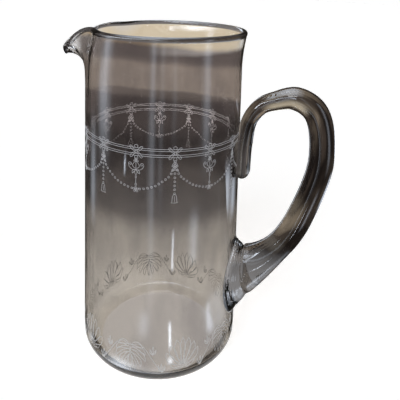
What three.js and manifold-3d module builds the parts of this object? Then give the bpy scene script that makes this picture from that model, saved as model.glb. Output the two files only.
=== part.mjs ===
// A hand-made glass water jug: a blown body with a drawn spout, and a solid glass handle applied to its wall.
// Millimetres, +Z up. The origin is the centre of the flat base, the handle points to +X and the spout to -X.

import * as THREE from "three";
import { mergeVertices } from "three/addons/utils/BufferGeometryUtils.js";
import Module from "manifold-3d";

// Body
const HEIGHT = 220; // base to rim, at the axis
const HEEL_RADIUS = 54.7; // widest radius, just above the base
const HEEL_ROUND = 15.8; // outer rounding between base and wall
const TAPER = THREE.MathUtils.degToRad(3.2); // lean of the wall towards the axis
const WALL = 2.7;
const FLOOR = 10; // thickness of the glass under the water
const FLOOR_ROUND = 5; // inner rounding between floor and wall
const RIM_RADIUS = 45.9;
const RIM_BEAD = 3.4; // thickness of the fire-polished rim
const RIM_DIP = 2.1; // rim at the spout's side below the rim at the handle's side
const FLARE_HEIGHT = 20.6; // stretch under the rim that turns outwards

// Spout, a beak drawn out of the rim, with the rim pinched in on both sides of it
const SPOUT_DROP = 33; // where the wall starts to bend, below the rim
const SPOUT_LENGTH = 30.4; // length of the bent wall, along the spout's middle
const SPOUT_TURN = THREE.MathUtils.degToRad(101.5); // from upright to the lip's direction
const SPOUT_SPREAD = THREE.MathUtils.degToRad(39.8); // from its middle to where the rim is round again
const SPOUT_BEAK = 3.4; // how sharply the spout narrows, as a power of a cosine
const SPOUT_SINK = 2.1; // how much more sharply its trough does, as a power of the spout's own
const SPOUT_SWELL = 0.8; // growth of the lip's bead at the tip, as a share
const PINCH = 6.1;
const PINCH_ASIDE = THREE.MathUtils.degToRad(27.3); // from the spout's middle
const PINCH_SPREAD = THREE.MathUtils.degToRad(30.9);

// Handle, along its middle line from the pressed tail over the crown to the root.
// Heights are taken below the rim (drop) or above the base (up), and out is the distance from the wall.
const SEAL_GAP = 0.3; // between the handle and the wall that it is pressed on
const TAIL_TIP = 6; // length of the tail's rounded end
const TAIL_END = { drop: 83.6, out: 2.8, thick: 9.2, wide: 16 };
const TAIL = { drop: 60.6, out: 3.4, thick: 9.8, wide: 15 };
const BEND = { drop: 46.5, out: 6.1, thick: 9.2, wide: 11 };
const RISE = { drop: 38, out: 12.4, thick: 9.6, wide: 10 };
const ARCH = { drop: 34.2, out: 20.6, thick: 10.8, wide: 10.8 };
const CROWN = { drop: 32, out: 31.3, thick: 12.8, wide: 12.8 };
const SHOULDER = { drop: 38.8, out: 43, thick: 13.6, wide: 13.6 };
const SIDE = { drop: 65.2, out: 48.8, thick: 14.9, wide: 14.9 };
const ELBOW = { up: 122.9, out: 42.2, thick: 16.2, wide: 16.2 };
const RUN = { up: 95.6, out: 30.3, thick: 17.6, wide: 17.6 };
const ROOT = { up: 64.3, out: 0, thick: 56, wide: 42 };
const ROOT_DEPTH = 6; // how far the root is carried on inside the wall, before it is cut to the wall

// Fineness of the mesh
const ROUND_STEPS = 108; // round the axis
const ARC_STEPS = 8; // on each rounding
const LIP_STEPS = 12; // up the bent stretch
const HANDLE_STEPS = 84; // along the handle
const HANDLE_SIDES = 20;

const NECK_Z = HEIGHT - FLARE_HEIGHT;
const LIP_Z = HEIGHT - SPOUT_DROP;
const HEEL_CENTRE = HEEL_RADIUS - HEEL_ROUND;

const wasm = await Module();
wasm.setup();

// Radius of the straight, leaning wall, continued over its whole height
function coneRadius(z) {
  return HEEL_CENTRE + HEEL_ROUND / Math.cos(TAPER) - (z - HEEL_ROUND) * Math.tan(TAPER);
}

// Radius of the outer wall above the heel, with the flare under the rim
function outerRadius(z) {
  const rise = Math.max(0, z - NECK_Z) / FLARE_HEIGHT;
  return coneRadius(z) + (RIM_RADIUS - coneRadius(HEIGHT)) * rise ** 2;
}

// Thickness of the wall, which gathers into the rim's bead
function wallThickness(z) {
  const rise = Math.max(0, z - NECK_Z) / FLARE_HEIGHT;
  return WALL + (RIM_BEAD - WALL) * rise ** 2;
}

// Points of an arc in the profile plane, its angles counted from the outward direction
function arc(r, z, radius, from, to) {
  const points = [];
  for (let i = 0; i <= ARC_STEPS; i++) {
    const angle = from + ((to - from) * i) / ARC_STEPS;
    points.push(new THREE.Vector2(r + radius * Math.cos(angle), z + radius * Math.sin(angle)));
  }
  return points;
}

// Heights of the profile's rings from the foot of the bent stretch to the foot of the rim's bead
function lipHeights() {
  const top = HEIGHT - RIM_BEAD / 2;
  return Array.from({ length: LIP_STEPS }, (_, i) => LIP_Z + ((top - LIP_Z) * i) / LIP_STEPS);
}

// The outer side of the wall from the base to the rim, grown outwards by a gap
function outerProfile(gap) {
  const points = arc(HEEL_CENTRE, HEEL_ROUND, HEEL_ROUND + gap, -Math.PI / 2, TAPER);
  for (const z of lipHeights()) points.push(new THREE.Vector2(outerRadius(z) + gap, z));
  return points;
}

// The inner side of the wall from the rim down to the floor
function innerProfile() {
  const heights = lipHeights().reverse();
  const points = heights.map((z) => new THREE.Vector2(outerRadius(z) - wallThickness(z), z));
  const roundZ = FLOOR + FLOOR_ROUND;
  const roundR = outerRadius(roundZ) - WALL - FLOOR_ROUND;
  points.push(...arc(roundR, roundZ, FLOOR_ROUND, 0, -Math.PI / 2));
  return points;
}

// A solid of revolution about +Z from a profile that starts and ends on the axis
function turned(profile) {
  return new THREE.LatheGeometry(profile, ROUND_STEPS).rotateX(Math.PI / 2);
}

// Dips the rim towards the spout's side, and bends the wall below it outwards there into a beak.
// The middle of the wall moves part of the way from straight to bent, and its two sides stay square to it.
function drawSpout(point) {
  const along = (point.z - LIP_Z) / SPOUT_DROP;
  const dip = ((RIM_DIP * point.x) / (2 * RIM_RADIUS)) * along ** 2;
  const aside = Math.abs(Math.atan2(point.y, -point.x));
  const pinch = PINCH * along ** 3 * Math.exp(-(((aside - PINCH_ASIDE) / PINCH_SPREAD) ** 2));
  const beak = Math.cos((Math.PI / 2) * Math.min(1, aside / SPOUT_SPREAD)) ** SPOUT_BEAK;
  const sink = beak ** SPOUT_SINK;
  const turn = SPOUT_TURN * along;
  const radius = Math.hypot(point.x, point.y);
  const middle = outerRadius(point.z) - wallThickness(point.z) / 2;
  const offset = (radius - middle) * (1 + SPOUT_SWELL * beak * along ** 2);
  const out = (beak * SPOUT_LENGTH * (1 - Math.cos(turn))) / SPOUT_TURN;
  const drop = sink * (SPOUT_DROP * along - (SPOUT_LENGTH * Math.sin(turn)) / SPOUT_TURN);
  const wall = new THREE.Vector2(beak * Math.sin(turn), 1 - sink + sink * Math.cos(turn)).normalize();
  const scale = (middle - pinch + offset * wall.y) / radius;
  point.x = point.x * scale - out;
  point.y = point.y * scale;
  point.z = point.z - drop - offset * wall.x + dip;
}

// The blown body: base, wall and rim turned as one profile, then the spout drawn out of it
function jugBody() {
  const rim = arc(RIM_RADIUS - RIM_BEAD / 2, HEIGHT - RIM_BEAD / 2, RIM_BEAD / 2, 0, Math.PI);
  const profile = [new THREE.Vector2(0, 0), ...outerProfile(0), ...rim, ...innerProfile()];
  profile.push(new THREE.Vector2(0, FLOOR));
  const geometry = turned(profile);
  const position = geometry.attributes.position;
  const point = new THREE.Vector3();
  for (let i = 0; i < position.count; i++) {
    point.fromBufferAttribute(position, i);
    if (point.z > LIP_Z) drawSpout(point);
    position.setXYZ(i, point.x, point.y, point.z);
  }
  return geometry;
}

// A place on the handle's middle line with the rod's two sizes there
function station({ drop, up, out, thick, wide }) {
  const z = up ?? HEIGHT - drop;
  return { place: new THREE.Vector3(outerRadius(z) + out, 0, z), size: new THREE.Vector2(thick, wide) };
}

// The rod's sizes between two stations; towards the root they grow late, as a flare does
function sizeAt(stations, t) {
  const place = t * (stations.length - 1);
  const i = Math.min(Math.floor(place), stations.length - 2);
  const share = place - i;
  const flaring = stations[i + 1].size.x === ROOT.thick;
  return stations[i].size.clone().lerp(stations[i + 1].size, flaring ? share ** 2 : share);
}

// A closed skin of rings of points, with a point at the middle of either end
function loft(rings) {
  const position = rings.flatMap((ring) => ring.points.flatMap((point) => [...point]));
  const index = [];
  const first = rings.length * HANDLE_SIDES;
  const last = first + 1;
  position.push(...rings[0].centre, ...rings.at(-1).centre);
  const end = (rings.length - 1) * HANDLE_SIDES;
  for (let j = 0; j < HANDLE_SIDES; j++) {
    const k = (j + 1) % HANDLE_SIDES;
    index.push(first, j, k, last, end + k, end + j);
    for (let row = 0; row < end; row += HANDLE_SIDES) {
      index.push(row + j, row + HANDLE_SIDES + k, row + k);
      index.push(row + j, row + HANDLE_SIDES + j, row + HANDLE_SIDES + k);
    }
  }
  const geometry = new THREE.BufferGeometry();
  geometry.setAttribute("position", new THREE.Float32BufferAttribute(position, 3));
  geometry.setIndex(index);
  return geometry;
}

// One ring of the rod: an ellipse on two half axes, wrapped round the wall by a share from 0 to 1
function ring(centre, up, side, wrap) {
  const radius = outerRadius(centre.z);
  const points = [];
  for (let j = 0; j < HANDLE_SIDES; j++) {
    const angle = (2 * Math.PI * j) / HANDLE_SIDES;
    const point = centre.clone().addScaledVector(up, Math.cos(angle)).addScaledVector(side, Math.sin(angle));
    point.x -= wrap * (radius - Math.sqrt(radius ** 2 - point.y ** 2) - (centre.z - point.z) * Math.tan(TAPER));
    points.push(point);
  }
  return { centre, points };
}

// The drawn rod of the handle: round in section, thin at the tail, swelling to the root
function handleRod() {
  const inside = { ...ROOT, out: ROOT.out - ROOT_DEPTH };
  const path = [TAIL_END, TAIL, BEND, RISE, ARCH, CROWN, SHOULDER, SIDE, ELBOW, RUN, ROOT, inside];
  const stations = path.map(station);
  const line = new THREE.CatmullRomCurve3(stations.map((s) => s.place), false, "centripetal");
  const length = line.getLength();
  const runEnd = path.indexOf(RUN) / (path.length - 1);
  const rootEnd = path.indexOf(ROOT) / (path.length - 1);
  const rings = [];
  for (let i = 1; i <= HANDLE_STEPS; i++) {
    const along = i / HANDLE_STEPS;
    const t = line.getUtoTmapping(along);
    const tangent = line.getTangent(t);
    const size = sizeAt(stations, t);
    const nearRoot = THREE.MathUtils.smoothstep(t, runEnd, rootEnd);
    const tip = Math.max(0, 1 - (along * length) / TAIL_TIP);
    const rounding = Math.sqrt(1 - tip ** 2) / 2;
    const across = new THREE.Vector3(-tangent.z, 0, tangent.x);
    across.lerp(new THREE.Vector3(0, 0, -1), nearRoot).normalize();
    const up = across.multiplyScalar(size.x * rounding);
    const side = new THREE.Vector3(0, size.y * rounding, 0);
    rings.push(ring(line.getPoint(t), up, side, nearRoot));
  }
  return loft(rings);
}

function solidOf(geometry) {
  const bare = geometry.clone();
  bare.deleteAttribute("normal");
  bare.deleteAttribute("uv");
  const merged = mergeVertices(bare);
  const vertProperties = new Float32Array(merged.attributes.position.array);
  const triVerts = new Uint32Array(merged.index.array);
  return new wasm.Manifold(new wasm.Mesh({ numProp: 3, vertProperties, triVerts }));
}

function geometryOf(solid) {
  const mesh = solid.getMesh();
  const geometry = new THREE.BufferGeometry();
  geometry.setAttribute("position", new THREE.BufferAttribute(mesh.vertProperties, 3));
  geometry.setIndex(new THREE.BufferAttribute(mesh.triVerts, 1));
  geometry.computeVertexNormals();
  return geometry;
}

// The applied handle: the rod with its tail and root shaped to the wall that they are pressed on
function handle() {
  const wall = [new THREE.Vector2(0, -SEAL_GAP), ...outerProfile(SEAL_GAP), new THREE.Vector2(0, HEIGHT)];
  return geometryOf(solidOf(handleRod()).subtract(solidOf(turned(wall))));
}

function glass(color) {
  return new THREE.MeshStandardMaterial({ color, roughness: 0.05, metalness: 0, transparent: true, opacity: 0.4 });
}

function piece(name, geometry, color) {
  const mesh = new THREE.Mesh(geometry, glass(color));
  mesh.name = name;
  return mesh;
}

const jug = new THREE.Group();
jug.add(piece("jug_body", jugBody(), "#cfc8bd"));
jug.add(piece("handle", handle(), "#b3a899"));

export default jug;
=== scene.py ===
"""Glass water jug: a blown, etched body with an applied handle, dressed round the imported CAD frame."""
import math

import bmesh
import bpy
import numpy as np
from mathutils import Matrix, Vector


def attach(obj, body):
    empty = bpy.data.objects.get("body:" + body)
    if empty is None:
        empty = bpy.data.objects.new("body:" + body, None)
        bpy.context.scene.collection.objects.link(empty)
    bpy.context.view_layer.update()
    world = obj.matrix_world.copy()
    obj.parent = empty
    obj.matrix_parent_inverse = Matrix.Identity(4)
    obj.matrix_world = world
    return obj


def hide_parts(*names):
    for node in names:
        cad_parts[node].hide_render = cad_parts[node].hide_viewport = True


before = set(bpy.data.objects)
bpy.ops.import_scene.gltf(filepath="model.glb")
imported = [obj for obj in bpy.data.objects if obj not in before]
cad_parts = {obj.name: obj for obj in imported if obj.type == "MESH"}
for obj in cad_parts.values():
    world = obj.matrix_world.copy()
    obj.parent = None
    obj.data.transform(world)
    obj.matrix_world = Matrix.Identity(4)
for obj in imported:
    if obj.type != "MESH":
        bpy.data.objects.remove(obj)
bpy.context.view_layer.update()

bl_info = {
    "name": "Glass water jug",
    "version": (1, 0, 0),
    "blender": (4, 5, 0),
    "location": "3D View > Sidebar > Jug",
    "description": "Builds a hand-made, etched glass water jug and the stage that it stands on",
    "category": "Add Mesh",
}

MM = 0.001
FULL_TURN = 2 * math.pi


# Properties

def share(label, note, value, **kind):
    """One number, without a unit unless its kind says so."""
    return bpy.props.FloatProperty(name=label, description=note, default=value, **kind)


def length(label, note, millimetres):
    """A length in the scene's metres, given in millimetres."""
    return share(label, note, millimetres * MM, subtype="DISTANCE", unit="LENGTH", precision=5)


def angle(label, note, degrees):
    """An angle, given in degrees."""
    return share(label, note, math.radians(degrees), subtype="ANGLE")


def count(label, note, value):
    """A whole number of pieces."""
    return bpy.props.IntProperty(name=label, description=note, default=value, min=1)


def several(label, note, values, **kind):
    """Several numbers."""
    return bpy.props.FloatVectorProperty(
        name=label, description=note, default=values, size=len(values), **kind)


def lengths(label, note, metres):
    """Several lengths, or a point, in metres."""
    return several(label, note, metres, subtype="XYZ_LENGTH", unit="LENGTH")


def tint(label, note, colour):
    """A colour in linear red, green and blue."""
    return several(label, note, colour, subtype="COLOR", min=0.0, max=1.0)


def station(label, *sizes):
    """A place on the handle's middle line: height, distance from the wall, and the rod's two sizes."""
    note = "Height, distance from the wall, thickness and width of the rod here"
    return lengths(label, note, [size * MM for size in sizes])


class JugBodySizes(bpy.types.PropertyGroup):
    """Sizes of the blown body and of the spout drawn out of its rim."""
    height: length("Height", "Base to rim, at the axis", 220)
    heel_radius: length("Heel radius", "Widest radius, just above the base", 54.7)
    heel_round: length("Heel rounding", "Outer rounding between base and wall", 15.8)
    taper: angle("Taper", "Lean of the wall towards the axis", 3.2)
    wall: length("Wall", "Thickness of the wall", 2.7)
    floor: length("Floor", "Thickness of the glass under the water", 10)
    floor_round: length("Floor rounding", "Inner rounding between floor and wall", 5)
    rim_radius: length("Rim radius", "Outer radius of the rim", 45.9)
    rim_bead: length("Rim bead", "Thickness of the fire-polished rim", 2.8)
    rim_roll: length("Rim roll", "Radius of the bead that the fire rolls up along the rim", 1.55)
    rim_dip: length("Rim dip", "Rim at the spout's side below the rim at the handle's side", 2.1)
    flare_height: length("Flare", "Stretch under the rim that turns outwards", 20.6)
    spout_drop: length("Spout drop", "Where the wall starts to bend, below the rim", 33)
    spout_length: length("Spout length", "Length of the bent wall along the spout's middle", 30.4)
    spout_turn: angle("Spout turn", "From upright to the lip's direction", 101.5)
    spout_spread: angle("Spout spread", "From the spout's middle to where the rim is round again", 39.8)
    spout_beak: share("Spout beak", "How sharply the spout narrows, as a power of a cosine", 3.4)
    spout_sink: share("Spout sink", "How much more sharply its trough does, as a power of that", 2.1)
    spout_swell: share("Spout swell", "Growth of the lip's bead at the tip, as a share", 0.6)
    pinch: length("Pinch", "How far the rim is pinched in beside the spout", 6.1)
    pinch_aside: angle("Pinch place", "From the spout's middle", 27.3)
    pinch_spread: angle("Pinch spread", "How far the pinch reaches round the rim", 30.9)


class JugHandleSizes(bpy.types.PropertyGroup):
    """Stations of the handle, from the pressed tail over the crown to the root."""
    tail_end: station("Tail end", 136.4, 2.8, 9.2, 16)
    tail: station("Tail", 159.4, 3.4, 9.8, 15)
    bend: station("Bend", 173.5, 6.1, 9.2, 11)
    rise: station("Rise", 182, 12.4, 9.6, 10)
    arch: station("Arch", 185.8, 20.6, 10.8, 10.8)
    crown: station("Crown", 188, 31.3, 12.8, 12.8)
    shoulder: station("Shoulder", 181.2, 43, 13.6, 13.6)
    side: station("Side", 154.8, 48.8, 14.9, 14.9)
    elbow: station("Elbow", 122.9, 42.2, 16.2, 16.2)
    run: station("Run", 95.6, 30.3, 17.6, 17.6)
    root: station("Root", 64.3, 0, 56, 42)
    root_inside: station("Root inside", 64.3, -6, 56, 42)
    crease: share("Crease", "Depth of the crease round the root, as a share of the rod's size", 0.075)
    crease_place: share("Crease place", "Share of the way from the run to the root", 0.72)
    crease_width: share("Crease width", "Half the crease's width, as a share of that way", 0.045)
    fold: share("Fold", "Height of the folds round the pad, as a share of the rod's size", 0.016)
    fold_start: share("Fold start", "Where the folds start, as a share of the way to the root", 0.68)
    fold_step: share("Fold step", "From fold to fold, as a share of that way", 0.075)
    tail_tip: length("Tail tip", "Length of the tail's rounded end", 6)
    seal_gap: length("Seal gap", "Between the handle and the wall that it is pressed on", 0.3)


class JugEtchingSizes(bpy.types.PropertyGroup):
    """Sizes and places of the ornament. Heights run up along the wall from the edge of the flat base."""
    frieze_repeats: count("Frieze repeats", "Swags round the jug", 7)
    frieze_top: length("Frieze top", "Upper edge of the ribbon rail, along the wall", 174.4)
    rail_height: length("Rail height", "Upper edge to lower edge of the ribbon rail", 4.3)
    pendant_place: angle("Pendant place", "Direction of one flower pendant", -91.5)
    tassel_place: angle("Tassel place", "Direction of one bead tassel", -65.8)
    rail_line: length("Rail line", "Width of the rail's lines", 0.2)
    frieze_line: length("Frieze line", "Width of the frieze's other lines", 0.21)
    bead: length("Bead", "Width of a ring in the chains", 1.25)
    bead_step: length("Bead step", "From ring to ring", 2.15)
    base_repeats: count("Base repeats", "Palmette pairs round the heel", 5)
    drooping_place: angle("Drooping palmette", "Direction of one drooping palmette under its arch", -94)
    upright_place: angle("Upright palmette", "Direction of one upright palmette", -57.5)
    base_line: length("Base line", "Width of the lines round the heel", 0.3)
    relief: length("Relief", "How far a line stands in and out of the wall's surface, together", 0.16)
    drift: angle("Drift", "How far the hand-cut ornament has slipped round at +Y, with none at -Y", -5.2)


class JugFinishes(bpy.types.PropertyGroup):
    """Colours of the glass and of the etching; most tints of the clear glass are painted shade and painted
    light.
    """
    # The body's tints are painted shade and painted light for what is seen through the clear glass
    rim_tint: tint("Rim tint", "Seen through the glass at the rim", (0.72, 0.61, 0.45))
    rim_lean: share("Rim lean", "Rise of rim tint and band towards -Y, in heights per metre", 0.85)
    lip_tint: tint("Lip tint", "Seen through the rim at -Y, towards the handle", (0.95, 0.945, 0.93))
    shoulder_tint: tint("Shoulder tint", "Seen through the glass below the rim", (0.37, 0.335, 0.325))
    band_tint: tint("Band tint", "Seen through the paler band above the frieze", (0.55, 0.50, 0.465))
    smoke_tint: tint("Smoke tint", "Seen through the glass round the frieze", (0.21, 0.19, 0.185))
    haze_tint: tint("Haze tint", "Seen through the glass below the frieze", (0.215, 0.20, 0.198))
    waist_tint: tint("Waist tint", "Seen through the glass half-way up", (0.50, 0.475, 0.45))
    foot_tint: tint("Foot tint", "Seen through the glass of the lower body", (0.78, 0.75, 0.705))
    base_tint: tint("Base tint", "Seen through the flat base", (0.82, 0.81, 0.82))
    beak_tint: tint("Beak tint", "Seen through the beak of the spout", (0.70, 0.68, 0.66))
    bead_tint: tint("Bead tint", "Seen through the bead of the rim", (0.15, 0.14, 0.14))
    drape_tint: tint("Drape tint", "Taken on by the glass where it is uneven", (0.60, 0.60, 0.63))
    depth_tint: tint("Depth tint", "Taken on by the glass where it is thick", (0.60, 0.54, 0.48))
    shadow_tint: tint("Shadow tint", "Light that the glass lets through to its shadow", (0.95, 0.945, 0.94))
    # Painted shade and painted light on the handle: dark and pale streaks, and a paler inner side, root and
    # seals
    rod_painted_shade: tint("Rod dark", "Dark cords of the handle", (0.012, 0.009, 0.008))
    rod_painted_light: tint("Rod pale", "Pale cords of the handle", (0.25, 0.20, 0.15))
    rod_inner_painted_light: tint("Rod clear", "Clear stretches along the handle's inner side", (0.62, 0.54, 0.41))
    root_painted_shade: tint("Root tint", "Glass of the handle's root", (0.31, 0.315, 0.33))
    seal_painted_light: tint("Seal tint", "Glass of the handle where it is pressed on", (0.90, 0.93, 0.97))
    # Fronts and backs of the lines are lit and shaded copies in painted light and shade; their glows are
    # painted light
    frost: tint("Frost", "Lines of the frieze, from outside", (0.30, 0.30, 0.315))
    frost_back_painted_light: tint("Frost's back", "Lines of the frieze, through the glass", (0.90, 0.90, 0.93))
    frost_glow: share("Frost glow", "Light from the frieze's lines, from outside", 0.13)
    frost_back_glow: share("Frost's back glow", "Light from the frieze's lines, through the glass", 0.90)
    heel_frost: tint("Heel frost", "Lines of the heel's border, from outside", (0.50, 0.50, 0.51))
    heel_back_painted_shade: tint("Heel frost's back", "Lines of the heel's border, through the glass", (0.11, 0.10, 0.09))
    heel_glow: share("Heel glow", "Light from the border's lines, from outside", 0.06)
    heel_back_glow: share("Heel's back glow", "Light from the border's lines, through the glass", 0.02)
    glow_tint: tint("Glow tint", "Colour of the light from the lines", (0.95, 0.97, 1.0))


class JugStageSettings(bpy.types.PropertyGroup):
    """Camera, light and floor."""
    lens: share("Lens", "Focal length in millimetres", 41.75)
    sensor: share("Sensor", "Width of the camera's sensor in millimetres", 36)
    camera_place: lengths("Camera place", "Where the camera stands", (0.07547, -0.26319, 0.2493))
    camera_yaw: angle("Camera yaw", "Turn of the view from the +Y direction, to the left", 10.79)
    camera_pitch: angle("Camera pitch", "Downward tilt of the view", 26.30)
    camera_roll: angle("Camera roll", "Turn of the picture about the view's direction", -3.39)
    floor_size: length("Floor size", "Side of the square floor", 12000)
    floor_drop: length("Floor drop", "How far the floor lies under the base", 0.4)
    paper: share("Paper", "Shade of the floor", 0.93)
    paper_grain: share("Paper grain", "How far the floor's shade wanders", 0.01)
    floor_glow: share("Floor glow", "What brings the floor up to white where it is seen", 0.37)
    floor_white: share("Floor white", "Brightness of the floor as the glass shows it", 0.95)
    ceiling: tint("Ceiling", "What the glass sees overhead", (0.06, 0.05, 0.045))
    ring_radius: length("Ring radius", "Radius of the ring of light patches", 240)
    ring_height: length("Ring height", "Height of the ring of light patches", 330)
    ring_inside: length("Ring inside", "Inner radius of the ground under the ring", 62)
    ring_lift: length("Ring lift", "How far the ground under the ring lies above the base", 0.5)
    ring_dark: tint("Ring dark", "Between the light patches", (0.004, 0.0035, 0.003))
    ring_light: tint("Ring light", "The light patches and the panel", (0.80, 0.88, 1.0))
    ring_power: share("Ring power", "Strength of a light patch of full brightness", 10)
    panel_place: lengths("Panel place", "Middle of the light panel overhead", (-0.14, -0.15, 0.8))
    panel_size: lengths("Panel size", "Sides of the light panel overhead", (0.9, 1.4))
    panel_power: share("Panel power", "Strength of the light panel overhead", 8)
    sun: share("Sun", "Strength of the soft key light", 2.2)
    sun_from: several("Sun from", "Where the key light comes from", (-0.12, -0.8, 0.58), subtype="DIRECTION")
    sun_width: angle("Sun width", "How wide the soft key light is", 25)
    soft: share("Soft light", "Strength of the light from all around", 0.28)


# Meshes

MERGE_REACH = 1e-7


def placed(name, data):
    """A new object at the origin, in the scene."""
    item = bpy.data.objects.new(name, data)
    bpy.context.scene.collection.objects.link(item)
    return item


def grid_faces(rows, columns, closed):
    """Faces between rows of points, each row a loop if it is closed."""
    i, j = np.meshgrid(np.arange(rows - 1), np.arange(columns if closed else columns - 1), indexing="ij")
    k = (j + 1) % columns
    corners = (i * columns + j, i * columns + k, (i + 1) * columns + k, (i + 1) * columns + j)
    return np.stack(corners, -1).reshape(-1, 4).tolist()


def finished(name, mesh, work, material):
    """The work as a smooth object with its faces pointing outwards."""
    bmesh.ops.recalc_face_normals(work, faces=work.faces)
    work.to_mesh(mesh)
    work.free()
    if not len(mesh.polygons):
        raise RuntimeError(f"{name} came out empty")
    mesh.polygons.foreach_set("use_smooth", [True] * len(mesh.polygons))
    mesh.materials.append(material)
    return placed(name, mesh)


def skinned(name, rings, first, last, marks, material):
    """A closed skin over rings and a point at either end; marks are vectors that its points carry."""
    rows, sides = rings.shape[:2]
    faces = grid_faces(rows, sides, True)
    start, end, top = rows * sides, rows * sides + 1, (rows - 1) * sides
    for j in range(sides):
        k = (j + 1) % sides
        faces.append((start, k, j))
        faces.append((end, top + j, top + k))
    mesh = bpy.data.meshes.new(name)
    mesh.from_pydata(with_ends(rings, first, last).tolist(), [], faces)
    for label, values in marks.items():
        mesh.attributes.new(label, "FLOAT_VECTOR", "POINT").data.foreach_set("vector", np.ravel(values))
    work = bmesh.new()
    work.from_mesh(mesh)
    bmesh.ops.remove_doubles(work, verts=work.verts, dist=MERGE_REACH)
    return finished(name, mesh, work, material)


def with_ends(rings, first, last):
    """The points of the rings, one after the other, and then the point at either end."""
    return np.vstack([rings.reshape(-1, 3), first, last])


# Body

BODY_SIDES = 216
HEEL_STEPS = 18
WALL_STEPS = 14
LIP_STEPS = 52
RIM_STEPS = 24
BASE_STEPS = 5
BASE_RINGS = BASE_STEPS + 2


def cone_radius(s, z):
    """Radius of the straight, leaning wall, continued over its whole height."""
    heel_centre = s.heel_radius - s.heel_round
    return heel_centre + s.heel_round / math.cos(s.taper) - (z - s.heel_round) * math.tan(s.taper)


def flare(s, z):
    """Share of the flare under the rim that is reached at a height, squared."""
    return (np.maximum(0, z - (s.height - s.flare_height)) / s.flare_height) ** 2


def outer_radius(s, z):
    """Radius of the outer wall above the heel, with the flare under the rim."""
    return cone_radius(s, z) + (s.rim_radius - cone_radius(s, s.height)) * flare(s, z)


def wall_thickness(s, z):
    """Thickness of the wall, which gathers into the rim's bead."""
    return s.wall + (s.rim_bead - s.wall) * flare(s, z)


def arc(r, z, radius, start, stop, steps):
    """Points of an arc in the profile's plane, its angles counted from the outward direction."""
    turn = np.linspace(start, stop, steps + 1)
    return np.stack([r + radius * np.cos(turn), z + radius * np.sin(turn)], -1)


def level_line(start, stop, z):
    """Points between two radii at one height, without their ends."""
    radii = np.linspace(start, stop, BASE_STEPS, endpoint=False)[1:]
    return np.stack([radii, np.full(len(radii), z)], -1)


def body_profile(s):
    """The turned profile, from the middle of the base round the rim to the middle of the floor.

    With it come the numbers of its points on the outside below the rim's bead, and on the bead."""
    heel_centre = s.heel_radius - s.heel_round
    lip_z = s.height - s.spout_drop
    rim_z = s.height - s.rim_roll
    crease = -math.acos(wall_thickness(s, rim_z) / 2 / s.rim_roll)
    crease_z = rim_z + s.rim_roll * math.sin(crease)
    base = level_line(0, heel_centre, 0)
    heel = arc(heel_centre, s.heel_round, s.heel_round, -math.pi / 2, s.taper, HEEL_STEPS)
    wall_z = np.linspace(heel[-1, 1], lip_z, WALL_STEPS, endpoint=False)[1:]
    lip = np.linspace(lip_z, crease_z, LIP_STEPS, endpoint=False)
    up = np.concatenate([wall_z, lip])
    outside = np.stack([outer_radius(s, up), up], -1)
    rim_r = outer_radius(s, rim_z) - wall_thickness(s, rim_z) / 2
    rim = arc(rim_r, rim_z, s.rim_roll, crease, math.pi - crease, RIM_STEPS)
    round_z = s.floor + s.floor_round
    down = np.concatenate([lip[::-1], np.linspace(lip_z, round_z, WALL_STEPS, endpoint=False)[1:]])
    inside = np.stack([outer_radius(s, down) - wall_thickness(s, down), down], -1)
    round_r = outer_radius(s, round_z) - s.wall - s.floor_round
    bowl = arc(round_r, round_z, s.floor_round, 0, -math.pi / 2, HEEL_STEPS)
    floor = level_line(round_r, 0, s.floor)
    outer = len(base) + len(heel) + len(outside)
    return np.concatenate([base, heel, outside, rim, inside, bowl, floor]), outer, len(rim)


def draw_spout(s, points):
    """Dips the rim to the spout, pinches it beside the spout and bends the wall there out into a beak."""
    lip_z = s.height - s.spout_drop
    x, y, z = points.T.copy()
    along = np.maximum(0, z - lip_z) / s.spout_drop
    dip = s.rim_dip * x / (2 * s.rim_radius) * along ** 2
    aside = np.abs(np.arctan2(y, -x))
    pinch = s.pinch * along ** 3 * np.exp(-((aside - s.pinch_aside) / s.pinch_spread) ** 2)
    beak = np.maximum(0, np.cos(math.pi / 2 * np.minimum(1, aside / s.spout_spread))) ** s.spout_beak
    sink = beak ** s.spout_sink
    turn = s.spout_turn * along
    radius = np.hypot(x, y)
    middle = outer_radius(s, z) - wall_thickness(s, z) / 2
    offset = (radius - middle) * (1 + s.spout_swell * beak * along ** 2)
    out = beak * s.spout_length * (1 - np.cos(turn)) / s.spout_turn
    drop = sink * (s.spout_drop * along - s.spout_length * np.sin(turn) / s.spout_turn)
    wall_out, wall_up = beak * np.sin(turn), 1 - sink + sink * np.cos(turn)
    size = np.hypot(wall_out, wall_up)
    scale = (middle - pinch + offset * wall_up / size) / radius
    drawn = np.stack([x * scale - out, y * scale, z - drop - offset * wall_out / size + dip], -1)
    return np.where((z > lip_z)[:, None], drawn, points)


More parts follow.
